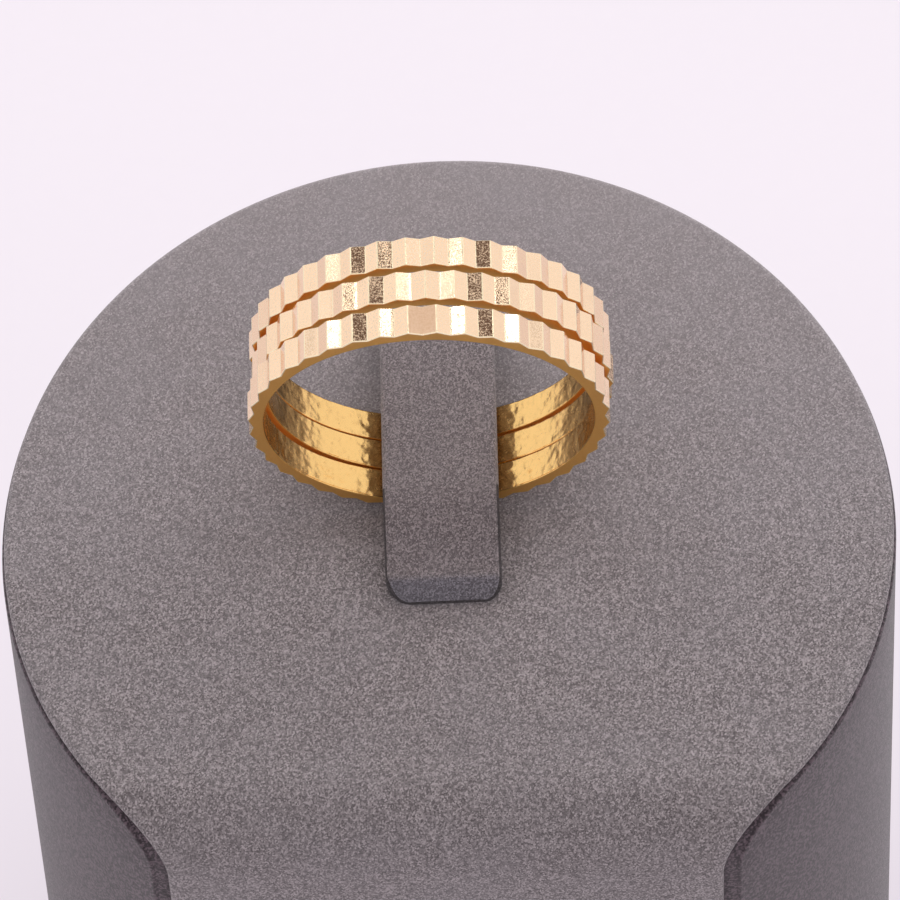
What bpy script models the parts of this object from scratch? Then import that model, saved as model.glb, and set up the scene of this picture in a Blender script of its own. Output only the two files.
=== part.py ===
"""Stackable rings on a display stand.

Three alike narrow gold bands stand upright, one behind another, on the sloping top of a
round display stand. Each band has a smooth bore, flat sides and forty V-shaped ridges
round the outside. A springy strip covered in fabric comes up out of the top behind the
bands, runs through all three and bends down to the top in front of them.

Metres, +Z up. The origin is on the axis of the round stand, at its base. The viewer is
on the -Y side, and +X is on the viewer's right.
"""
import math

import bmesh
import bpy
from mathutils import Vector

MM = 0.001

# One band. The wall is measured from the bore to the crest of a ridge.
BORE_DIAMETER = 17.78 * MM
BAND_WALL = 0.86 * MM
BAND_WIDTH = 1.72 * MM
RIDGE_COUNT = 40
RIDGE_DEPTH = 0.25 * MM
CREST_FLAT = 0.06 * MM
VALLEY_FLAT = 0.08 * MM

# How each band stands: its lean forward from square to the top, in degrees, its turn to
# the viewer's right, in degrees, its shift across, and the turn of its ridges, as a share
# of one ridge.
BANDS = (
    {"name": "ring_front", "lean": 3.7, "turn": 1.8, "shift": -0.32 * MM, "step": 0.498},
    {"name": "ring_middle", "lean": 2.7, "turn": 1.9, "shift": -0.09 * MM, "step": 0.982},
    {"name": "ring_back", "lean": 1.8, "turn": 2.2, "shift": -0.19 * MM, "step": 0.388},
)
BAND_GAP = 0.12 * MM
STACK_START = 1.48 * MM

# The stand. Its diameter is at its height, and its wall leans in by the taper, in degrees,
# towards the foot. The flat front is cut this deep into the round column.
COLUMN_DIAMETER = 48.95 * MM
COLUMN_HEIGHT = 40.0 * MM
COLUMN_TAPER = 0.45
FRONT_CUT = 5.33 * MM
TOP_SLOPE = 6.0
BEND_RADIUS = 4.30 * MM
COVER_THICKNESS = 1.00 * MM
COVER_EDGE = 0.15 * MM
COVER_HEM = 0.50 * MM

# The strip that holds the bands. Its tip and root are measured up the slope from the
# column's axis, and its bend is the radius of its middle line.
TONGUE_WIDTH = 6.32 * MM
TONGUE_THICKNESS = 1.30 * MM
TONGUE_TIP = -4.70 * MM
TONGUE_ROOT = 13.00 * MM
TONGUE_BEND = 2.00 * MM
TONGUE_DEPTH = 3.00 * MM
TIP_CORNER = 1.00 * MM
TONGUE_CHAMFER = 0.30 * MM
HOLDER_SHIFT = -0.28 * MM
HOLDER_TURN = 2.1

# Clearance between pieces that touch on the real thing.
SEAT_GAP = 0.30 * MM

COLUMN_SIDES = 120
BEND_STEPS = 10
CORNER_STEPS = 5
TONGUE_STEPS = 12

COLUMN_RADIUS = COLUMN_DIAMETER / 2
BORE_RADIUS = BORE_DIAMETER / 2
CREST_RADIUS = BORE_RADIUS + BAND_WALL
SLOPE = math.radians(TOP_SLOPE)
TURN = math.radians(HOLDER_TURN)
PITCH = 2 * math.pi / RIDGE_COUNT


def clear_scene():
    for old in list(bpy.data.objects):
        bpy.data.objects.remove(old, do_unlink=True)


def make_material(name, colour, metallic, roughness):
    material = bpy.data.materials.new(name)
    material.use_nodes = True
    shader = material.node_tree.nodes["Principled BSDF"]
    shader.inputs["Base Color"].default_value = (*colour, 1.0)
    shader.inputs["Metallic"].default_value = metallic
    shader.inputs["Roughness"].default_value = roughness
    material.diffuse_color = (*colour, 1.0)
    return material


def add_object(name, shape, material=None):
    """Turn a bmesh into a named object with its faces pointing out."""
    bmesh.ops.recalc_face_normals(shape, faces=shape.faces[:])
    mesh = bpy.data.meshes.new(name)
    shape.to_mesh(mesh)
    shape.free()
    if material:
        mesh.materials.append(material)
    made = bpy.data.objects.new(name, mesh)
    bpy.context.scene.collection.objects.link(made)
    return made


def loft(sections):
    """One closed body through a row of matching loops of points."""
    shape = bmesh.new()
    loops = [[shape.verts.new(point) for point in section] for section in sections]
    count = len(loops[0])
    for near, far in zip(loops, loops[1:]):
        for i in range(count):
            j = (i + 1) % count
            shape.faces.new((near[i], near[j], far[j], far[i]))
    shape.faces.new(loops[0])
    shape.faces.new(loops[-1])
    return shape


def combine(made, guide, operation):
    """Cut a guide out of a solid, or keep what the two share."""
    guide.hide_render = True
    guide.display_type = "WIRE"
    step = made.modifiers.new(guide.name, "BOOLEAN")
    step.operation = operation
    step.solver = "EXACT"
    step.object = guide


def on_top(across, along, above):
    """A point over the top: across the tongue, up the slope, and square to the slope."""
    side = HOLDER_SHIFT + across * math.cos(TURN) - along * math.sin(TURN)
    back = along * math.cos(TURN) + across * math.sin(TURN)
    level = back * math.cos(SLOPE) - above * math.sin(SLOPE)
    height = COLUMN_HEIGHT + back * math.sin(SLOPE) + above * math.cos(SLOPE)
    return Vector((side, level, height))


# The stand: a round column with a flat front, and the cover over its top and front.

def side_line(inset, low):
    """The stand's front and top seen from the side, moved in from the finished surface."""
    radius = BEND_RADIUS - inset
    front = COLUMN_RADIUS - FRONT_CUT
    centre_y = BEND_RADIUS - front
    centre_z = COLUMN_HEIGHT + centre_y * math.tan(SLOPE) - BEND_RADIUS / math.cos(SLOPE)
    line = [(inset - front, low)]
    for i in range(BEND_STEPS + 1):
        angle = math.pi - (math.pi / 2 - SLOPE) * i / BEND_STEPS
        line.append((centre_y + radius * math.cos(angle), centre_z + radius * math.sin(angle)))
    end = COLUMN_DIAMETER
    line.append((end, COLUMN_HEIGHT + end * math.tan(SLOPE) - inset / math.cos(SLOPE)))
    return line


def make_block(name, outline, radius, material):
    """A side outline carried right across the stand, then trimmed to its tapering round."""
    sections = [[(x, y, z) for y, z in outline] for x in (-COLUMN_DIAMETER, COLUMN_DIAMETER)]
    made = add_object(name, loft(sections), material)
    turns = [2 * math.pi * i / COLUMN_SIDES for i in range(COLUMN_SIDES)]
    rounds = []
    for z in (-COLUMN_DIAMETER, COLUMN_HEIGHT + COLUMN_DIAMETER):
        reach = radius + (z - COLUMN_HEIGHT) * math.tan(math.radians(COLUMN_TAPER))
        rounds.append([(reach * math.cos(turn), reach * math.sin(turn), z) for turn in turns])
    combine(made, add_object(name + "_trim", loft(rounds)), "INTERSECT")
    return made


def make_slot():
    """The slot that the tongue comes up out of, through the cover and into the column."""
    half_width = TONGUE_WIDTH / 2 + SEAT_GAP
    half_length = TONGUE_THICKNESS / 2 + SEAT_GAP
    corners = ((-1, -1), (1, -1), (1, 1), (-1, 1))
    sections = []
    for above in (-TONGUE_DEPTH - SEAT_GAP, COVER_THICKNESS):
        loop = [on_top(x * half_width, TONGUE_ROOT + y * half_length, above) for x, y in corners]
        sections.append(loop)
    return add_object("tongue_slot", loft(sections))


def make_stand(fabric_side, fabric_top):
    under_cover = COVER_THICKNESS + SEAT_GAP
    block = side_line(under_cover, 0)
    block.append((COLUMN_DIAMETER, 0))
    column = make_block("stand_column", block, COLUMN_RADIUS, fabric_side)
    sheet = side_line(0, COVER_HEM) + side_line(COVER_THICKNESS, COVER_HEM)[::-1]
    cover = make_block("stand_cover", sheet, COLUMN_RADIUS - COVER_EDGE, fabric_top)
    slot = make_slot()
    combine(column, slot, "DIFFERENCE")
    combine(cover, slot, "DIFFERENCE")


# The bands: one mesh rule, three standing poses.

def band_outline():
    """The ridged outline, as radius and angle from the top, all the way round."""
    valley_radius = CREST_RADIUS - RIDGE_DEPTH
    crest = CREST_FLAT / 2 / CREST_RADIUS
    valley = VALLEY_FLAT / 2 / valley_radius
    outline = []
    for ridge in range(RIDGE_COUNT):
        top = ridge * PITCH
        bottom = top + PITCH / 2
        outline.append((CREST_RADIUS, top - crest))
        outline.append((CREST_RADIUS, top + crest))
        outline.append((valley_radius, bottom - valley))
        outline.append((valley_radius, bottom + valley))
    return outline


def make_band(name, step, material):
    """A band about its own Z axis, with the middle of its width at its origin."""
    low, high = -BAND_WIDTH / 2, BAND_WIDTH / 2
    shape = bmesh.new()
    loops = []
    for at_bore, level in ((False, low), (False, high), (True, high), (True, low)):
        loop = []
        for crest_or_valley, angle in band_outline():
            radius = BORE_RADIUS if at_bore else crest_or_valley
            turned = angle + step * PITCH
            loop.append(shape.verts.new((radius * math.sin(turned), radius * math.cos(turned), level)))
        loops.append(loop)
    count = len(loops[0])
    for near, far in zip(loops, loops[1:] + loops[:1]):
        for i in range(count):
            j = (i + 1) % count
            shape.faces.new((near[i], near[j], far[j], far[i]))
    return add_object(name, shape, material)


def band_axis(band):
    """Which way a band's bore points, towards the viewer."""
    lean = SLOPE + math.radians(band["lean"])
    turn = math.radians(band["turn"])
    level = math.cos(lean)
    return Vector((math.sin(turn) * level, -math.cos(turn) * level, -math.sin(lean)))


def band_rise(band):
    """Height of a band's centre over the top, with its lowest edge at the seat gap."""
    lean = math.radians(band["lean"])
    return SEAT_GAP + CREST_RADIUS * math.cos(lean) + BAND_WIDTH / 2 * math.sin(abs(lean))


def band_places():
    """Where each band's centre comes up the slope, each clear of the one before it."""
    lean = math.radians(BANDS[0]["lean"])
    along = STACK_START - CREST_RADIUS * math.sin(lean) + BAND_WIDTH / 2 * math.cos(lean)
    places = [along]
    for near, far in zip(BANDS, BANDS[1:]):
        skew = math.sin(band_axis(near).angle(band_axis(far)))
        along += BAND_WIDTH + BAND_GAP + CREST_RADIUS * skew
        places.append(along)
    return places


def make_bands(gold):
    for band, along in zip(BANDS, band_places()):
        made = make_band(band["name"], band["step"], gold)
        made.location = on_top(band["shift"], along, band_rise(band))
        lean = math.radians(90 + TOP_SLOPE + band["lean"])
        made.rotation_euler = (lean, 0, math.radians(band["turn"]))


# The tongue: a strip lofted along a bent middle line.

def bore_floor(band):
    """Height over the top of a bore's floor, where the tongue's outer edge crosses it."""
    lean = math.radians(band["lean"])
    skew = math.radians(abs(band["turn"] - HOLDER_TURN))
    reach = TONGUE_WIDTH / 2 + abs(band["shift"]) + BAND_WIDTH * math.sin(skew)
    drop = math.sqrt(BORE_RADIUS ** 2 - reach ** 2)
    return band_rise(band) + BAND_WIDTH / 2 * math.sin(abs(lean)) - drop * math.cos(lean)


def tongue_line():
    """The strip's middle line from tip to root, as distance up the slope and height."""
    half = TONGUE_THICKNESS / 2
    low = SEAT_GAP + half
    high = max(bore_floor(band) for band in BANDS) + SEAT_GAP + half
    rise_end = STACK_START - SEAT_GAP
    line = []
    for i in range(CORNER_STEPS):
        line.append((TONGUE_TIP + TIP_CORNER * (1 - math.cos(math.pi / 2 * i / CORNER_STEPS)), low))
    rise_start = TONGUE_TIP + TIP_CORNER
    for i in range(TONGUE_STEPS + 1):
        share = i / TONGUE_STEPS
        ease = share * share * (3 - 2 * share)
        line.append((rise_start + (rise_end - rise_start) * share, low + (high - low) * ease))
    for i in range(BEND_STEPS + 1):
        angle = math.pi / 2 * (1 - i / BEND_STEPS)
        along = TONGUE_ROOT - TONGUE_BEND + TONGUE_BEND * math.cos(angle)
        line.append((along, high - TONGUE_BEND + TONGUE_BEND * math.sin(angle)))
    line.append((TONGUE_ROOT, -TONGUE_DEPTH))
    return line


def strip_section(half_width, place, square):
    """A flat section with chamfered edges. square points from the middle line to its top."""
    half = TONGUE_THICKNESS / 2
    soft = TONGUE_CHAMFER
    corners = (
        (-half_width, soft - half), (soft - half_width, -half),
        (half_width - soft, -half), (half_width, soft - half),
        (half_width, half - soft), (half_width - soft, half),
        (soft - half_width, half), (-half_width, half - soft),
    )
    section = []
    for across, up in corners:
        section.append(on_top(across, place[0] + up * square[0], place[1] + up * square[1]))
    return section


def make_tongue(fabric):
    line = tongue_line()
    sections = []
    for i, place in enumerate(line):
        before = line[max(i - 1, 0)]
        after = line[min(i + 1, len(line) - 1)]
        run = after[0] - before[0]
        climb = after[1] - before[1]
        length = math.hypot(run, climb)
        from_tip = place[0] - TONGUE_TIP
        half_width = TONGUE_WIDTH / 2
        if i < CORNER_STEPS:
            half_width += math.sqrt(TIP_CORNER ** 2 - (TIP_CORNER - from_tip) ** 2) - TIP_CORNER
        sections.append(strip_section(half_width, place, (-climb / length, run / length)))
    return add_object("holding_tongue", loft(sections), fabric)


def main():
    clear_scene()
    gold = make_material("rose_gold", (0.83, 0.55, 0.33), 1.0, 0.22)
    top_fabric = make_material("grey_microfibre", (0.19, 0.175, 0.18), 0.0, 0.95)
    side_fabric = make_material("grey_side_wrap", (0.17, 0.157, 0.163), 0.0, 0.95)
    make_stand(side_fabric, top_fabric)
    make_bands(gold)
    make_tongue(top_fabric)


main()
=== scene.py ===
"""The looks of three stackable rings on a display stand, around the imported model."""
import math

import bmesh
import bpy
from mathutils import Matrix, Vector


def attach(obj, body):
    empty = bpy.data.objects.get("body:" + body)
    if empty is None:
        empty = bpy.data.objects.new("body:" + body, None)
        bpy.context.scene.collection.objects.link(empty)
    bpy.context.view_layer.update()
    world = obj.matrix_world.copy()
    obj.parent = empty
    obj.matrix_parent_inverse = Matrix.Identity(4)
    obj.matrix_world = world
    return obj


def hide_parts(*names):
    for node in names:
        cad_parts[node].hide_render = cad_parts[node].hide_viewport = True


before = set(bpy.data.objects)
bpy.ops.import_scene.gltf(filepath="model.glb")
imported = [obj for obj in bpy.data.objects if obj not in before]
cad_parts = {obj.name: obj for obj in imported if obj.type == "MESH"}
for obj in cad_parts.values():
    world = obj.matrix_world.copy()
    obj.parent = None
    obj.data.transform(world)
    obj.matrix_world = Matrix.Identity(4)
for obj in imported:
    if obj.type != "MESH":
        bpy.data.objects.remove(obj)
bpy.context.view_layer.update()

# The view: a long lens, high in front of the stand, looks down on the bands. It is turned
# and tilted a little, as the picture of the real stand is.
MM = 0.001
VIEW_FROM = Vector((18.566, -275.30, 396.79)) * MM
VIEW_DOWN, VIEW_TURN, VIEW_TILT = (math.radians(a) for a in (51.71, 3.78, -3.47))
FILM_WIDTH, FOCAL_LENGTH = 36.0, 330.0

ahead = Vector((-math.sin(VIEW_TURN) * math.cos(VIEW_DOWN),
                math.cos(VIEW_TURN) * math.cos(VIEW_DOWN), -math.sin(VIEW_DOWN)))
level = Vector((math.cos(VIEW_TURN), math.sin(VIEW_TURN), 0))
upright = level.cross(ahead)
across = level * math.cos(VIEW_TILT) + upright * math.sin(VIEW_TILT)
upward = upright * math.cos(VIEW_TILT) - level * math.sin(VIEW_TILT)
lens = bpy.data.cameras.new("stand_view")
lens.sensor_width = FILM_WIDTH
lens.lens = FOCAL_LENGTH
camera = bpy.data.objects.new("stand_view", lens)
camera.matrix_world = Matrix.Translation(VIEW_FROM) @ Matrix((across, upward, -ahead)).transposed().to_4x4()
bpy.context.scene.collection.objects.link(camera)
bpy.context.scene.camera = camera
bpy.context.scene.view_settings.view_transform = "Standard"

# The light tent: pale walls, two small round lamps high behind the stand, and between them
# the dark opening of its roof. Cut facets mirror these. A broad soft panel behind the stand
# lights the cloth from the back.
TENT_WHITE = (1.0, 0.965, 0.985, 1.0)
TENT_LOW = (0.88, 0.84, 0.87, 1.0)
SEAM_GREY = (0.74, 0.71, 0.72, 1.0)
ROOF_DARK = (0.140, 0.100, 0.090, 1.0)
ROOF = {"turn": -4, "rise": 72, "inner": 16.2, "outer": 17.8}
LAMPS = {"left_lamp": (-42.8, 63.3), "right_lamp": (35.0, 65.2)}
LAMP_AWAY, LAMP_RADIUS, LAMP_POWER = 0.40, 0.0230, 0.052
RING_TOP = Vector((0, 0.002, 0.060))
SEAMS = ({"turn": -57.2, "rise": 49.6, "inner": 2.5, "outer": 4.2},
         {"turn": 52.2, "rise": 52.2, "inner": 2.5, "outer": 4.2})
STAND_TOP = Vector((0, 0, 0.042))
PANEL_PLACE = Vector((0.010, 0.075, 0.092))
PANEL_WIDE, PANEL_DEEP, PANEL_POWER = 0.20, 0.11, 0.125
FLOOR_PALE = (0.22, 0.215, 0.22, 1.0)
FLOOR_FLECK = (0.45, 0.42, 0.45, 1.0)
FLOOR_GLOW = (0.60, 0.54, 0.60, 1.0)
FLOOR_REACH, FLOOR_DROP = 4.0, 0.02 * MM


class Wire:
    """The output of a shader node. Sums of wires and numbers add Math nodes."""

    def __init__(self, tree, socket=None):
        self.tree = tree
        self.socket = socket

    def node(self, kind, settings=None, sockets=None, out=0):
        """A node of a kind, with its settings, then the values or wires of its sockets."""
        made = self.tree.nodes.new("ShaderNode" + kind)
        for name, value in (settings or {}).items():
            setattr(made, name, value)
        for name, value in (sockets or {}).items():
            if isinstance(value, Wire):
                self.tree.links.new(value.socket, made.inputs[name])
            else:
                made.inputs[name].default_value = value
        return Wire(self.tree, made.outputs[out])

    def maths(self, operation, first, second):
        return self.node("Math", {"operation": operation}, {0: first, 1: second})

    def mix(self, first, second):
        """From the first colour to the second, by this wire."""
        return self.node("Mix", {"data_type": "RGBA"}, {0: self, 6: first, 7: second}, 2)

    def __add__(self, other):
        return self.maths("ADD", self, other)

    def __sub__(self, other):
        return self.maths("SUBTRACT", self, other)

    def __rsub__(self, other):
        return self.maths("SUBTRACT", other, self)

    def __mul__(self, other):
        return self.maths("MULTIPLY", self, other)

    __radd__ = __add__
    __rmul__ = __mul__

    def into(self, node, name):
        self.tree.links.new(self.socket, node.inputs[name])


def add_piece(name, shape, materials, sharp=35.0):
    """A bmesh as a named object, smooth but for its edges sharper than this angle."""
    bmesh.ops.recalc_face_normals(shape, faces=shape.faces[:])
    mesh = bpy.data.meshes.new(name)
    shape.to_mesh(mesh)
    shape.free()
    for material in materials:
        mesh.materials.append(material)
    mesh.shade_smooth()
    mesh.set_sharp_from_angle(angle=math.radians(sharp))
    piece = bpy.data.objects.new(name, mesh)
    bpy.context.scene.collection.objects.link(piece)
    return piece


tent = bpy.data.worlds.new("light_tent")
tent.use_nodes = True
bpy.context.scene.world = tent
wire = Wire(tent.node_tree)
looking = wire.node("TexCoord")


def direction(turn, rise):
    """Which way a place on the tent lies, by its degrees round from the back and up."""
    turn, rise = math.radians(turn), math.radians(rise)
    return Vector((math.sin(turn) * math.cos(rise), math.cos(turn) * math.cos(rise), math.sin(rise)))


def patch(turn, rise, inner, outer):
    """1 inside a round patch of the tent, 0 outside it."""
    facing = wire.node("VectorMath", {"operation": "DOT_PRODUCT"}, {0: looking, 1: direction(turn, rise)}, 1)
    return wire.node("MapRange", {"interpolation_type": "SMOOTHSTEP"},
                     {"Value": facing, "From Min": math.cos(math.radians(outer)),
                      "From Max": math.cos(math.radians(inner))})


def add_lamp(name, shape, size, power, place):
    """A flat lamp that faces the top of the stand and isn't seen itself."""
    light = bpy.data.lights.new(name, "AREA")
    light.shape = shape
    light.size, light.size_y = size
    light.energy = power
    lamp = bpy.data.objects.new(name, light)
    lamp.location = place
    lamp.rotation_euler = (place - STAND_TOP).to_track_quat("Z", "Y").to_euler()
    lamp.visible_camera = False
    bpy.context.scene.collection.objects.link(lamp)
    return lamp


height = wire.node("SeparateXYZ", {}, {"Vector": looking}, 2)
upper = wire.node("MapRange", {}, {"Value": height, "From Min": -0.5, "From Max": 0.3})
lining = upper.mix(TENT_LOW, TENT_WHITE)
lining = patch(**ROOF).mix(lining, ROOF_DARK)
for seam in SEAMS:
    lining = patch(**seam).mix(lining, SEAM_GREY)
lining.into(tent.node_tree.nodes["Background"], "Color")

for name, place in LAMPS.items():
    lamp = add_lamp(name, "DISK", (2 * LAMP_RADIUS,) * 2, LAMP_POWER,
                    RING_TOP + LAMP_AWAY * direction(*place))
    lamp.visible_diffuse = False
panel = add_lamp("back_panel", "RECTANGLE", (PANEL_WIDE, PANEL_DEEP), PANEL_POWER, PANEL_PLACE)
panel.visible_glossy = False

floor_paper = bpy.data.materials.new("floor_paper")
floor_paper.use_nodes = True
paper = floor_paper.node_tree.nodes["Principled BSDF"]
wire = Wire(floor_paper.node_tree)
grain = wire.node("TexNoise", {}, {"Vector": wire.node("TexCoord", out=3), "Scale": 900.0})
(grain * 0.04).mix(FLOOR_PALE, FLOOR_FLECK).into(paper, "Base Color")
paper.inputs["Roughness"].default_value = 0.9
paper.inputs["Specular IOR Level"].default_value = 0.1
paper.inputs["Emission Color"].default_value = FLOOR_GLOW
paper.inputs["Emission Strength"].default_value = 1.0
disc = bmesh.new()
bmesh.ops.create_circle(disc, cap_ends=True, segments=96, radius=FLOOR_REACH)
floor = add_piece("floor", disc, [floor_paper])
floor.location.z = -FLOOR_DROP

# The stand's core: a round block with a flat front and a sloping top, turned and cut from
# board. The cloth is glued over it and hides all but its foot.
COLUMN_RADIUS = 24.47 * MM
COLUMN_HEIGHT = 40.0 * MM
TAPER = math.tan(math.radians(0.45))
FRONT = 19.14 * MM
BEND = 4.30 * MM
SLOPE = math.radians(6.0)
NAP_RISE = 0.31 * MM
CLOTH = 0.38 * MM
GLUE = 0.02 * MM
BOARD_UNDER = 1.05 * MM
BOARD_DARK = (0.13, 0.11, 0.10, 1.0)
BOARD_PALE = (0.22, 0.19, 0.17, 1.0)
FOOT_PAD = 0.45 * MM
BEND_STEPS = 16
ROUND_STEPS = 72
FRONT_STEPS = 10

BEND_TURN = math.pi / 2 - SLOPE
BEND_LEVEL = BEND - FRONT
BEND_HEIGHT = COLUMN_HEIGHT + NAP_RISE + BEND_LEVEL * math.tan(SLOPE) - BEND / math.cos(SLOPE)


def side_place(along, sunk):
    """The stand's top and front seen from the side: y, z and the way out (y, z). Along is
    the distance up the slope from the bend, less than 0 round it and down the front."""
    turned = min(max(-along / BEND, 0), BEND_TURN)
    out_y, out_z = -math.sin(SLOPE + turned), math.cos(SLOPE + turned)
    up_slope = max(along, 0)
    down_front = max(-along - BEND * BEND_TURN, 0)
    reach = BEND - sunk
    y = BEND_LEVEL + reach * out_y + up_slope * math.cos(SLOPE)
    z = BEND_HEIGHT + reach * out_z + up_slope * math.sin(SLOPE) - down_front
    return y, z, out_y, out_z


def round_reach(radius, z):
    """How far out the stand's tapering round is at a height."""
    return radius + (z - COLUMN_HEIGHT) * TAPER


def rim_stations(radius, sunk, lowest):
    """Distances along the side, from the foot of the front to the back of the round."""
    front = -BEND * BEND_TURN
    floor_line = front - (side_place(front, sunk)[1] - lowest)
    stations = [floor_line + (front - floor_line) * i / FRONT_STEPS for i in range(FRONT_STEPS)]
    stations += [front * (1 - i / BEND_STEPS) for i in range(BEND_STEPS)]
    start = math.asin(side_place(0, sunk)[0] / radius)
    start_y = side_place(0, sunk)[0]
    for i in range(ROUND_STEPS + 1):
        angle = start + (math.pi / 2 - start) * i / ROUND_STEPS
        reach = radius * math.sin(angle)
        z = COLUMN_HEIGHT + reach * math.tan(SLOPE) - sunk / math.cos(SLOPE)
        y = round_reach(radius, z) * math.sin(angle)
        stations.append((y - start_y) / math.cos(SLOPE))
    return stations


def rim_line(radius, sunk, lowest):
    """The line where a round of this radius meets the stand's side line, right to left."""
    right = []
    for along in rim_stations(radius, sunk, lowest):
        y, z, out_y, out_z = side_place(along, sunk)
        x = math.sqrt(max(round_reach(radius, z) ** 2 - y ** 2, 0))
        right.append((Vector((x, y, z)), Vector((0, out_y, out_z))))
    left = [(Vector((-p.x, p.y, p.z)), out) for p, out in right[-2::-1]]
    return right + left


def strip_faces(shape, near, far):
    """A strip of four-sided faces between two rows of points."""
    for a, b, c, d in zip(near, near[1:], far[1:], far):
        shape.faces.new((a, b, c, d))


core_radius = COLUMN_RADIUS - CLOTH - GLUE
shape = bmesh.new()
top_line = [p for p, out in rim_line(core_radius, BOARD_UNDER, FOOT_PAD)]
top_line = top_line[FRONT_STEPS:len(top_line) - FRONT_STEPS]
top = [shape.verts.new(p) for p in top_line]
foot = []
for p in top_line:
    share = round_reach(core_radius, FOOT_PAD) / round_reach(core_radius, p.z)
    foot.append(shape.verts.new((p.x * share, p.y * share, FOOT_PAD)))
strip_faces(shape, top, foot)
for i in range(len(top) // 2 - 1):
    shape.faces.new((top[i], top[i + 1], top[-i - 2], top[-i - 1]))
middle = len(top) // 2
shape.faces.new((top[middle - 1], top[middle], top[middle + 1]))
shape.faces.new((top[0], foot[0], foot[-1], top[-1]))
shape.faces.new(foot)

stand_board = bpy.data.materials.new("stand_board")
stand_board.use_nodes = True
board = stand_board.node_tree.nodes["Principled BSDF"]
wire = Wire(stand_board.node_tree)
place = wire.node("TexCoord", out=3)
fibres = wire.node("TexNoise", {}, {"Vector": place, "Scale": 1400.0, "Detail": 3.0})
fibres.mix(BOARD_DARK, BOARD_PALE).into(board, "Base Color")
board.inputs["Roughness"].default_value = 0.95
core = add_piece("column_core", shape, [stand_board])
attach(core, "root")
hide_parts("stand_column")

# The foot pad: a thin disc of black felt, cut straight along the stand's front and glued
# under the core. Its edge is a little worn round.
PAD_RADIUS, PAD_WORN = 23.3 * MM, 0.2 * MM
PAD_FRONT = -17.2 * MM
PAD_EDGE = 0.12 * MM
FELT_DARK = (0.02, 0.018, 0.018, 1.0)
FELT_GREY = (0.07, 0.065, 0.065, 1.0)

shape = bmesh.new()
pad_rows = []
for worn, z in ((PAD_WORN, 0), (0, PAD_EDGE), (0, FOOT_PAD - PAD_EDGE), (PAD_WORN, FOOT_PAD)):
    radius = PAD_RADIUS - worn
    half = math.acos(PAD_FRONT / radius)
    row = []
    for i in range(ROUND_STEPS + 1):
        angle = math.pi / 2 - half + 2 * half * i / ROUND_STEPS
        row.append(shape.verts.new((radius * math.cos(angle), radius * math.sin(angle), z)))
    pad_rows.append(row)
for near, far in zip(pad_rows, pad_rows[1:]):
    strip_faces(shape, near + near[:1], far + far[:1])
shape.faces.new(pad_rows[0])
shape.faces.new(pad_rows[-1])
pad_felt = bpy.data.materials.new("foot_felt")
pad_felt.use_nodes = True
felt = pad_felt.node_tree.nodes["Principled BSDF"]
wire = Wire(pad_felt.node_tree)
place = wire.node("TexCoord", out=3)
matted = wire.node("TexNoise", {}, {"Vector": place, "Scale": 4200.0, "Detail": 4.0, "Roughness": 0.7})
matted.mix(FELT_DARK, FELT_GREY).into(felt, "Base Color")
felt.inputs["Roughness"].default_value = 1.0
felt.inputs["Sheen Weight"].default_value = 0.3
pad = add_piece("foot_pad", shape, [pad_felt])
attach(pad, "root")

# The side wrap: one strip of fine grey microfibre, glued round the core. Its top edge
# rolls in under the cover's lip, and its two ends tuck in behind the flat front.
CREASE = 0.52 * MM
WRAP_ROLL = 0.18 * MM
WRAP_TUCK = 0.55 * MM
WRAP_INSIDE = 1.0 * MM
WRAP_FOOT = 0.12 * MM
WRAP_DARK = (0.026, 0.018, 0.022, 1.0)
WRAP_LIGHT = (0.115, 0.083, 0.098, 1.0)
ROLL_STEPS = 5


def microfibre(name, dark, light, grain_mm, contrast, sheen, smooth_back=1.0, tip=None):
    """Short grey nap: lighter and darker fibre ends, in tufts, over faint clouds. It may lie
    smoother towards the back, and take a painted shade past a tip's line: its distance, turn and tone."""
    material = bpy.data.materials.new(name)
    material.use_nodes = True
    cloth = material.node_tree.nodes["Principled BSDF"]
    wire = Wire(material.node_tree)
    place = wire.node("TexCoord", out=3)
    ends = wire.node("TexVoronoi", {}, {"Vector": place, "Scale": 1000 / grain_mm}, 1)
    tufts = wire.node("TexNoise", {}, {"Vector": place, "Scale": 1300 / grain_mm, "Detail": 2.0})
    clouds = wire.node("TexNoise", {}, {"Vector": place, "Scale": 260.0, "Detail": 2.0})
    side, back = (wire.node("SeparateXYZ", {}, {"Vector": place}, i) for i in (0, 1))
    stood = wire.node("MapRange", {}, {"Value": back, "From Min": -0.005, "From Max": 0.022,
                                       "To Min": 1.0, "To Max": smooth_back})
    nap = ((ends * ends - 0.33) * contrast + (tufts - 0.5) * 0.65) * stood + 0.50
    colour = wire.node("MapRange", {}, {"Value": nap}).mix(dark, light)
    tint = wire.node("MapRange", {}, {"Value": clouds, "From Min": 0.35, "From Max": 0.65,
                                      "To Max": 0.15})
    colour = tint.mix(colour, (light[0] * 0.60, light[1] * 0.63, light[2] * 0.66, 1.0))
    # Past the tip's line the colour is multiplied by a darker, bluer tone: painted shade on the sloping tip.
    if tip:
        distance, turn, tone = tip
        along = back - side * math.tan(turn) + (tufts - 0.5) * 0.6 * MM
        tipped = wire.node("MapRange", {}, {"Value": along, "From Min": distance + 0.2 * MM,
                                            "From Max": distance - 0.2 * MM})
        colour = wire.node("Mix", {"data_type": "RGBA", "blend_type": "MULTIPLY"},
                           {0: tipped, 6: colour, 7: tone}, 2)
    colour.into(cloth, "Base Color")
    cloth.inputs["Roughness"].default_value = 0.92
    cloth.inputs["Specular IOR Level"].default_value = 0.12
    cloth.inputs["Sheen Weight"].default_value = sheen
    cloth.inputs["Sheen Roughness"].default_value = 0.6
    wire.node("Bump", {}, {"Strength": 0.5, "Distance": 0.05 * MM, "Height": nap}).into(cloth, "Normal")
    return material


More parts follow.
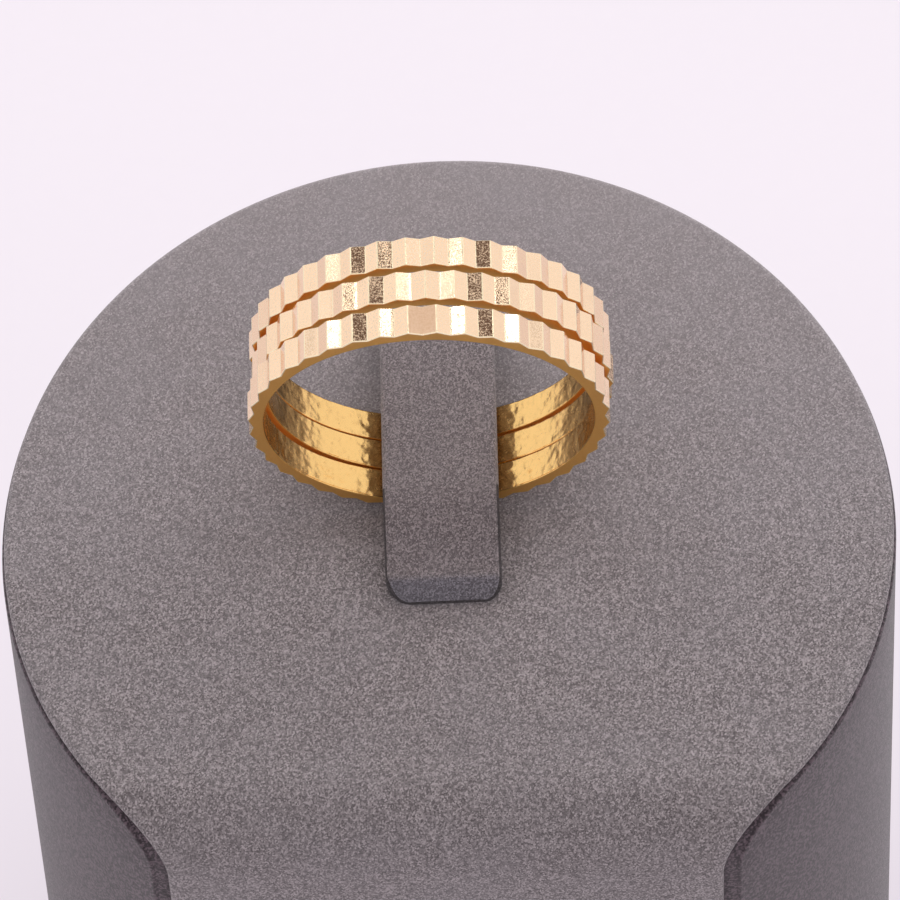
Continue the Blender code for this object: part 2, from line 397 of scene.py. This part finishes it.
def rim_frame(line, i):
    """At a point of a rim: out from the round, and along the round's face to the cover."""
    point = line[i][0]
    run = line[min(i + 1, len(line) - 1)][0] - line[max(i - 1, 0)][0]
    outward = Vector((point.x, point.y, 0)).normalized()
    toward = run.cross(outward).normalized()
    if toward.z < 0 or abs(toward.z) < 1e-6 and toward.x * point.x > 0:
        toward = -toward
    return outward, toward


wrap_line = rim_line(COLUMN_RADIUS, CREASE, FOOT_PAD)
shape = bmesh.new()
rims = []


def add_rim(out_move, toward_move):
    """A row of the wrap's rim, moved out from the round and towards the cover."""
    row = []
    for i, (point, _) in enumerate(wrap_line):
        outward, toward = rim_frame(wrap_line, i)
        row.append(shape.verts.new(point + outward * out_move + toward * toward_move))
    rims.append(row)


for i in range(ROLL_STEPS + 1):
    angle = math.pi / 2 * i / ROLL_STEPS
    add_rim(-WRAP_ROLL * (1 - math.cos(angle)), -WRAP_ROLL * (1 - math.sin(angle)))
for sunk in (CREASE + 0.01 * MM, CREASE + CLOTH):
    rims.append([shape.verts.new(point) for point, _ in rim_line(COLUMN_RADIUS - WRAP_TUCK, sunk, FOOT_PAD)])
add_rim(-CLOTH, -WRAP_INSIDE)
for near, far in zip(rims, rims[1:]):
    strip_faces(shape, near, far)


def wall_rows(rim, radius):
    """The rows of a wall from the foot up to a rim, whose two ends are its first and last
    columns."""
    ends = FRONT_STEPS
    columns = rim[ends:len(rim) - ends]
    rows = [columns]
    for k in range(ends - 1, -1, -1):
        row = [rim[k]]
        for vert in columns[1:-1]:
            z = FOOT_PAD + (vert.co.z - FOOT_PAD) * k / ends
            flat = Vector((vert.co.x, vert.co.y, 0)).normalized() * round_reach(radius, z)
            row.append(shape.verts.new((flat.x, flat.y, z)))
        row.append(rim[len(rim) - 1 - k])
        rows.append(row)
    return rows


outer_rows = wall_rows(rims[0], COLUMN_RADIUS)
inner_rows = wall_rows(rims[-1], COLUMN_RADIUS - CLOTH)
for rows in (outer_rows, inner_rows):
    for near, far in zip(rows, rows[1:]):
        strip_faces(shape, near, far)
foot_row = []
for vert in outer_rows[-1]:
    outward = Vector((vert.co.x, vert.co.y, 0)).normalized()
    foot_row.append(shape.verts.new(vert.co - outward * WRAP_FOOT - Vector((0, 0, WRAP_FOOT))))
strip_faces(shape, outer_rows[-1], foot_row)
strip_faces(shape, foot_row, inner_rows[-1])
for end in (0, -1):
    shape.faces.new([rim[end] for rim in rims] + [foot_row[end]])
side_cloth = microfibre("side_microfibre", WRAP_DARK, WRAP_LIGHT, grain_mm=0.11, contrast=3.2, sheen=0.27)
wrap = add_piece("side_wrap", shape, [side_cloth])
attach(wrap, "root")

# The cover: stiff card under a thicker speckled microfibre. It lies on the sloping top,
# bends over and runs down the flat front, and its edge is a soft rounded lip.
COVER_RADIUS = 24.34 * MM
COVER_HEM = 0.5 * MM
LIP = 0.34 * MM
LIP_DROP = 0.47 * MM
LIP_REACH = 2.2
UNDERCUT = 1.05 * MM
COVER_DEEP = 0.95 * MM
COVER_COLUMNS = 36
COVER_DARK = (0.062, 0.052, 0.054, 1.0)
COVER_LIGHT = (0.345, 0.306, 0.314, 1.0)

cover_line = rim_line(COVER_RADIUS, 0, COVER_HEM)
lip_profile = [(LIP * LIP_REACH, 0.0)]
for i in range(ROLL_STEPS + 1):
    angle = math.pi / 2 * i / ROLL_STEPS
    lip_profile.append((LIP * (1 - math.sin(angle)), LIP * (1 - math.cos(angle))))
lip_profile += [(0.02 * MM, LIP_DROP - 0.05 * MM), (0.09 * MM, LIP_DROP),
                (UNDERCUT, LIP_DROP + 0.02 * MM), (UNDERCUT + 0.02 * MM, COVER_DEEP)]
shape = bmesh.new()
rows = []
for inset, deep in lip_profile:
    row = []
    for i, (point, out) in enumerate(cover_line):
        run = cover_line[min(i + 1, len(cover_line) - 1)][0] - cover_line[max(i - 1, 0)][0]
        inward = out.cross(run).normalized()
        row.append(shape.verts.new(point + inward * inset - out * deep))
    rows.append(row)
for near, far in zip(rows, rows[1:]):
    strip_faces(shape, near, far)
pole = len(cover_line) // 2
end_edges = []
for rim in (rows[0], rows[-1]):
    before = None
    for i in range(pole):
        right, left = rim[i], rim[-1 - i]
        inside = [shape.verts.new(right.co.lerp(left.co, j / COVER_COLUMNS))
                  for j in range(1, COVER_COLUMNS)]
        row = [right, *inside, left]
        if before:
            strip_faces(shape, before, row)
        else:
            end_edges.append(row)
        before = row
    for a, b in zip(before, before[1:]):
        shape.faces.new((a, b, rim[pole]))
top_end, under_end = end_edges
right_side = [row[0] for row in rows[1:-1]]
left_side = [row[-1] for row in rows[1:-1]]
shape.faces.new(top_end + left_side + under_end[::-1] + right_side[::-1])
top_cloth = microfibre("top_microfibre", COVER_DARK, COVER_LIGHT, grain_mm=0.085, contrast=1.25,
                       sheen=0.2, smooth_back=0.35)
cover = add_piece("cover_cloth", shape, [top_cloth])

# The slot: a slit through the cover and into the core, which the tongue comes up out of.
HOLDER_SHIFT = -0.28 * MM
HOLDER_TURN = math.radians(2.1)
TONGUE_WIDTH = 6.32 * MM
TONGUE_THICK = 1.30 * MM
TONGUE_ROOT = 13.00 * MM
SLOT_ROOM = 0.14 * MM
SLOT_DEEP, SLOT_ABOVE = 3.3 * MM, 2.0 * MM


def on_top(across, along, above):
    """A point over the top: across the tongue, up the slope, and square to the slope."""
    side = HOLDER_SHIFT + across * math.cos(HOLDER_TURN) - along * math.sin(HOLDER_TURN)
    back = along * math.cos(HOLDER_TURN) + across * math.sin(HOLDER_TURN)
    y = back * math.cos(SLOPE) - above * math.sin(SLOPE)
    z = COLUMN_HEIGHT + back * math.sin(SLOPE) + above * math.cos(SLOPE)
    return Vector((side, y, z))


shape = bmesh.new()
half_wide, half_long = TONGUE_WIDTH / 2 + SLOT_ROOM, TONGUE_THICK / 2 + SLOT_ROOM
slot_rows = []
for above in (-SLOT_DEEP, SLOT_ABOVE):
    slot_rows.append([shape.verts.new(on_top(x * half_wide, TONGUE_ROOT + y * half_long, above))
                      for x, y in ((-1, -1), (1, -1), (1, 1), (-1, 1))])
strip_faces(shape, slot_rows[0] + slot_rows[0][:1], slot_rows[1] + slot_rows[1][:1])
shape.faces.new(slot_rows[0])
shape.faces.new(slot_rows[1])
cutter = add_piece("slot_cutter", shape, [])
for piece in (cover, core):
    cut = piece.modifiers.new("slot", "BOOLEAN")
    cut.operation = "DIFFERENCE"
    cut.solver = "EXACT"
    cut.object = cutter
    made = bpy.data.meshes.new_from_object(piece.evaluated_get(bpy.context.evaluated_depsgraph_get()))
    piece.modifiers.clear()
    piece.data = made
bpy.data.objects.remove(cutter)
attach(cover, "root")
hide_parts("stand_cover")

# The tongue: a springy strip in the same speckled cloth, rolled at its edges. It comes up
# behind the bands, runs through their bores, and its tip rests on the cover in front.
TONGUE_TIP = -4.70 * MM
TONGUE_BEND = 2.00 * MM
TONGUE_DEEP = 3.00 * MM
TONGUE_UNDER = 1.80 * MM
NAP_PRESSED = 0.02 * MM
TIP_LEFT, TIP_RIGHT = 1.30 * MM, 0.95 * MM
# The tongue's cloth is the cover's, coloured darker: painted shade from the bands and its slope.
SHADED_TONGUE_DARK = (0.048, 0.039, 0.041, 1.0)
SHADED_TONGUE_LIGHT = (0.262, 0.226, 0.235, 1.0)
# A darker, bluer tone past the tip's line: painted shade on the sloping tip.
TIP_SHADE = (0.86, 0.92, 1.0, 1.0)
# Darker colours for the tongue's low sides and underside: painted shade.
LOW_SHADE_DARK = (0.020, 0.017, 0.018, 1.0)
LOW_SHADE_LIGHT = (0.085, 0.074, 0.078, 1.0)
TIP_SLANT, TIP_FALL = 0.80 * MM, 1.00 * MM
EDGE_ROLL = 0.40 * MM
TIP_LEVEL = NAP_RISE - NAP_PRESSED + TONGUE_THICK / 2
BORE_LEVEL = TONGUE_UNDER + TONGUE_THICK / 2
RISE_END = 1.20 * MM
CORNER_POINTS = 5
TOP_POINTS = range(CORNER_POINTS // 2, CORNER_POINTS * 3 // 2)
TIP_STEPS, RISE_STEPS, FLAT_STEPS = 12, 16, 6


def strip_section(left, right, low, high, roll):
    """A flat section with round edges, as (across, up) points, anticlockwise."""
    roll = min(roll, (high - low) / 2 * 0.98)
    section = []
    for x, up, start in ((right, high, 0), (-left, high, 1), (-left, low, 2), (right, low, 3)):
        centre_x = x - math.copysign(roll, x)
        centre_up = up - roll if up == high else up + roll
        for i in range(CORNER_POINTS):
            angle = math.pi / 2 * (start + i / (CORNER_POINTS - 1))
            section.append((centre_x + roll * math.cos(angle), centre_up + roll * math.sin(angle)))
    return section


def eased(drop, distance):
    """How far a quarter round of radius drop has fallen, this far from its end."""
    return drop - math.sqrt(max(drop ** 2 - (drop - min(distance, drop)) ** 2, 0))


tongue_places = []
flat_end = TONGUE_ROOT - TONGUE_BEND
for i in range(TIP_STEPS):
    tongue_places.append(TONGUE_TIP + TIP_LEFT * (1 - math.cos(math.pi / 2 * i / TIP_STEPS)))
rise_start = TONGUE_TIP + TIP_LEFT
for i in range(RISE_STEPS):
    tongue_places.append(rise_start + (RISE_END - rise_start) * i / RISE_STEPS)
for i in range(FLAT_STEPS):
    tongue_places.append(RISE_END + (flat_end - RISE_END) * i / FLAT_STEPS)
line = []
for place in tongue_places:
    share = min(max((place - TONGUE_TIP - TIP_SLANT) / (RISE_END - TONGUE_TIP - TIP_SLANT), 0), 1)
    line.append((place, TIP_LEVEL + (BORE_LEVEL - TIP_LEVEL) * share * share * (3 - 2 * share)))
for i in range(BEND_STEPS + 1):
    angle = math.pi / 2 * (1 - i / BEND_STEPS)
    line.append((flat_end + TONGUE_BEND * math.cos(angle),
                 BORE_LEVEL - TONGUE_BEND + TONGUE_BEND * math.sin(angle)))
line.append((TONGUE_ROOT, 0))
line.append((TONGUE_ROOT, -TONGUE_DEEP))
shape = bmesh.new()
sections = []
for i, (place, above) in enumerate(line):
    before, after = line[max(i - 1, 0)], line[min(i + 1, len(line) - 1)]
    run, climb = after[0] - before[0], after[1] - before[1]
    length = math.hypot(run, climb)
    past_tip = place - TONGUE_TIP
    half = TONGUE_THICK / 2
    left = TONGUE_WIDTH / 2 - eased(TIP_LEFT, past_tip)
    right = TONGUE_WIDTH / 2 - eased(TIP_RIGHT, past_tip)
    high = half - max(TIP_FALL * (1 - past_tip / TIP_SLANT), 0)
    section = []
    for x, up in strip_section(left, right, -half, high, EDGE_ROLL):
        section.append(shape.verts.new(on_top(x, place - up * climb / length, above + up * run / length)))
    sections.append(section)
around = 4 * CORNER_POINTS
# Low down, in front and in the slot, its sides, underside and tip end get the darker cloth: painted shade.
for k, (near, far) in enumerate(zip(sections, sections[1:])):
    low_down = line[k][0] < RISE_END or k >= len(tongue_places)
    for i in range(around):
        face = shape.faces.new((near[i], near[(i + 1) % around], far[(i + 1) % around], far[i]))
        if low_down and i not in TOP_POINTS:
            face.material_index = 1
shape.faces.new(sections[0]).material_index = 1
shape.faces.new(sections[-1])
tongue_naps = [microfibre("tongue_microfibre", SHADED_TONGUE_DARK, SHADED_TONGUE_LIGHT, grain_mm=0.078, contrast=1.2,
                          sheen=0.2, tip=(TONGUE_TIP + TIP_SLANT, HOLDER_TURN, TIP_SHADE)),
               # The darker copy of the cloth: painted shade on the tongue's low sides and underside.
               microfibre("low_shade_microfibre", LOW_SHADE_DARK, LOW_SHADE_LIGHT, grain_mm=0.095, contrast=1.0,
                          sheen=0.05)]
tongue = add_piece("tongue_cloth", shape, tongue_naps, sharp=60.0)
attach(tongue, "root")
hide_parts("holding_tongue")

# The bands: three alike gold bands, turned from tube and then cut round the outside with
# forty V grooves. The cut facets are bright, the flat sides satin, the bores polished.
BORE_RADIUS = 8.89 * MM
BAND_WALL = 0.86 * MM
BAND_WIDTH = 1.72 * MM
RIDGES = 40
RIDGE_DEPTH = 0.25 * MM
CREST_ROLL, CREST_LIFT, CREST_STEPS = 0.12 * MM, 0.07, 3
VALLEY_ROLL, VALLEY_SINK, VALLEY_STEPS = 0.09 * MM, 0.05, 5
FACET_CUTS = (0.12, 0.70)
EDGE_BREAK = 0.06 * MM
EDGE_PROFILE = ((0, 1), (0.3, 0.3), (1, 0))
REAR_SHARE = 0.35
BORE_BREAK, BORE_STEPS = 0.09 * MM, 4
SHARP_EDGE = 3.5
SEAT_GAP = 0.30 * MM
BAND_GAP = 0.12 * MM
STACK_START = 1.48 * MM
BANDS = (
    {"name": "front", "lean": 3.7, "turn": 1.8, "shift": -0.32 * MM, "step": 0.498},
    {"name": "middle", "lean": 2.7, "turn": 1.9, "shift": -0.09 * MM, "step": 0.982},
    {"name": "back", "lean": 1.8, "turn": 2.2, "shift": -0.19 * MM, "step": 0.388},
)
DULL_FACETS = {"front": (78, 79)}
FINISHES = {
    "facet": {"colour": (0.99, 0.75, 0.515, 1.0), "smooth": 0.06, "rough": 0.40, "worn": 0.52,
              "wave_mm": 1.6, "wave_high": 0.003, "pit_mm": 0.085, "pit_deep": 0.001},
    # The broken edges' gold is paler than the facets': painted highlight along crests and facet ends.
    "edge": {"colour": (1.0, 0.85, 0.58, 1.0), "smooth": 0.27, "rough": 0.36, "worn": 0.50,
             "wave_mm": 0.8, "wave_high": 0.002, "pit_mm": 0.17, "pit_deep": 0.004},
    "dull": {"colour": (0.78, 0.55, 0.37, 1.0), "smooth": 0.40, "rough": 0.60, "worn": 0.50,
             "wave_mm": 0.8, "wave_high": 0.002, "pit_mm": 0.10, "pit_deep": 0.012},
    "side": {"colour": (1.0, 0.57, 0.160, 1.0), "smooth": 0.33, "rough": 0.45, "worn": 0.50,
             "wave_mm": 0.8, "wave_high": 0.010, "pit_mm": 0.12, "pit_deep": 0.010},
    "bore": {"colour": (0.95, 0.62, 0.235, 1.0), "smooth": 0.17, "rough": 0.30, "worn": 0.60,
             "wave_mm": 0.75, "wave_high": 0.080, "pit_mm": 0.25, "pit_deep": 0.004},
}

CREST_RADIUS = BORE_RADIUS + BAND_WALL
PITCH = 2 * math.pi / RIDGES


def round_corner(before, corner, after, roll, steps):
    """A corner between two straights, rolled to a radius."""
    a, b = (before - corner).normalized(), (after - corner).normalized()
    half = a.angle(b) / 2
    back = roll / math.tan(half)
    centre = corner + (a + b).normalized() * (roll / math.sin(half))
    first, last = corner + a * back - centre, corner + b * back - centre
    arc = []
    for i in range(steps + 1):
        share = i / steps
        arc.append(centre + first.slerp(last, share).normalized() * roll)
    return arc


def ridge_outline(step, dull):
    """The cut outline, from the top round to the right: points, each with what is cut there."""
    crest_out = CREST_RADIUS + CREST_ROLL * CREST_LIFT
    valley_in = CREST_RADIUS - RIDGE_DEPTH - VALLEY_ROLL * VALLEY_SINK
    corners = []
    for i in range(RIDGES * 2):
        angle = (i / 2 + step) * PITCH
        reach = valley_in if i % 2 else crest_out
        corners.append(Vector((reach * math.sin(angle), reach * math.cos(angle), 0)))
    outline = []
    for i, corner in enumerate(corners):
        before, after = corners[i - 1], corners[(i + 1) % len(corners)]
        if i % 2:
            arc = round_corner(before, corner, after, VALLEY_ROLL, VALLEY_STEPS)
            outline.extend((point, "dull" if i in dull else "edge") for point in arc[:-1])
        else:
            arc = round_corner(before, corner, after, CREST_ROLL, CREST_STEPS)
            outline.extend((point, "edge") for point in arc[:-1])
        kind = "dull" if i in dull else "facet"
        following = after - arc[-1]
        outline.extend((arc[-1] + following * share, kind) for share in (0, *FACET_CUTS))
    return outline


def make_band(name, step, dull, materials):
    """A band about its own Z axis: facets, broken edges, flat sides and a round bore."""
    half = BAND_WIDTH / 2
    outline, cuts = zip(*ridge_outline(step, dull))
    front = [(cut * EDGE_BREAK, half - deep * EDGE_BREAK) for cut, deep in EDGE_PROFILE]
    outer = [(cut * REAR_SHARE, (half - z) * REAR_SHARE - half) for cut, z in front[::-1]] + front
    shape = bmesh.new()
    loops = []
    for cut, z in outer:
        loops.append([shape.verts.new(p * (1 - cut / p.length) + Vector((0, 0, z))) for p in outline])
    bore = []
    for i in range(BORE_STEPS + 1):
        angle = math.pi / 2 * i / BORE_STEPS
        bore.append((BORE_BREAK * (1 - math.sin(angle)), half - BORE_BREAK * (1 - math.cos(angle))))
    inner = bore + [(cut, -z) for cut, z in bore[::-1]]
    for cut, z in inner:
        loops.append([shape.verts.new(p * ((BORE_RADIUS + cut) / p.length) + Vector((0, 0, z)))
                      for p in outline])
    # The outer half of each broken bore edge has the sides' finish.
    edges = ["edge"] * (len(EDGE_PROFILE) - 1)
    sides = ["side"] * (1 + BORE_STEPS // 2)
    bores = ["bore"] * (len(inner) + 1 - 2 * len(sides))
    kinds = edges + ["cut"] + edges + sides + bores + sides
    names = list(materials)
    count = len(outline)
    for near, far, kind in zip(loops, loops[1:] + loops[:1], kinds):
        for i in range(count):
            j = (i + 1) % count
            face = shape.faces.new((near[i], near[j], far[j], far[i]))
            face.material_index = names.index(cuts[i] if kind == "cut" else kind)
    return add_piece(name, shape, materials.values(), sharp=SHARP_EDGE)


def gold(name, colour, smooth, rough, worn, wave_mm, wave_high, pit_mm, pit_deep):
    """Gold, smooth but for fine scratched pits, with the slow waves of polishing. Worn is the
    share of pits below which it stays smooth. Heights and depths are in mm."""
    material = bpy.data.materials.new(name)
    material.use_nodes = True
    metal = material.node_tree.nodes["Principled BSDF"]
    wire = Wire(material.node_tree)
    place = wire.node("TexCoord", out=3)
    wave = wire.node("TexNoise", {}, {"Vector": place, "Scale": 1000 / wave_mm, "Detail": 1.5})
    pits = wire.node("TexNoise", {}, {"Vector": place, "Scale": 1000 / pit_mm, "Detail": 2.5,
                                      "Roughness": 0.65, "Distortion": 0.6})
    patches = wire.node("TexNoise", {}, {"Vector": place, "Scale": 900.0, "Detail": 0.0})
    scratched = wire.node("MapRange", {}, {"Value": pits + (patches - 0.5) * 0.15,
                                           "From Min": worn - 0.10, "From Max": worn + 0.10})
    shade = (colour[0] * 0.82, colour[1] * 0.78, colour[2] * 0.72, 1.0)
    (scratched * 0.15).mix(colour, shade).into(metal, "Base Color")
    metal.inputs["Metallic"].default_value = 1.0
    (scratched * (rough - smooth) + smooth).into(metal, "Roughness")
    waves = wire.node("Bump", {}, {"Strength": 1.0, "Distance": wave_high * MM, "Height": wave})
    wire.node("Bump", {}, {"Strength": 1.0, "Distance": pit_deep * MM, "Height": pits,
                           "Normal": waves}).into(metal, "Normal")
    return material


golds = {kind: gold(kind + "_gold", **finish) for kind, finish in FINISHES.items()}


def band_axis(band):
    """Which way a band's bore points, towards the viewer."""
    lean = SLOPE + math.radians(band["lean"])
    turn = math.radians(band["turn"])
    level = math.cos(lean)
    return Vector((math.sin(turn) * level, -math.cos(turn) * level, -math.sin(lean)))


first_lean = math.radians(BANDS[0]["lean"])
along = STACK_START - CREST_RADIUS * math.sin(first_lean) + BAND_WIDTH / 2 * math.cos(first_lean)
for i, band in enumerate(BANDS):
    if i:
        skew = math.sin(band_axis(BANDS[i - 1]).angle(band_axis(band)))
        along += BAND_WIDTH + BAND_GAP + CREST_RADIUS * skew
    lean = math.radians(band["lean"])
    above = SEAT_GAP + CREST_RADIUS * math.cos(lean) + BAND_WIDTH / 2 * math.sin(lean)
    piece = make_band("band_" + band["name"], band["step"], DULL_FACETS.get(band["name"], ()), golds)
    turn = Matrix.Rotation(math.radians(band["turn"]), 4, "Z")
    tip = Matrix.Rotation(math.pi / 2 + SLOPE + lean, 4, "X")
    piece.data.transform(Matrix.Translation(on_top(band["shift"], along, above)) @ turn @ tip)
    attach(piece, "root")
    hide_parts("ring_" + band["name"])
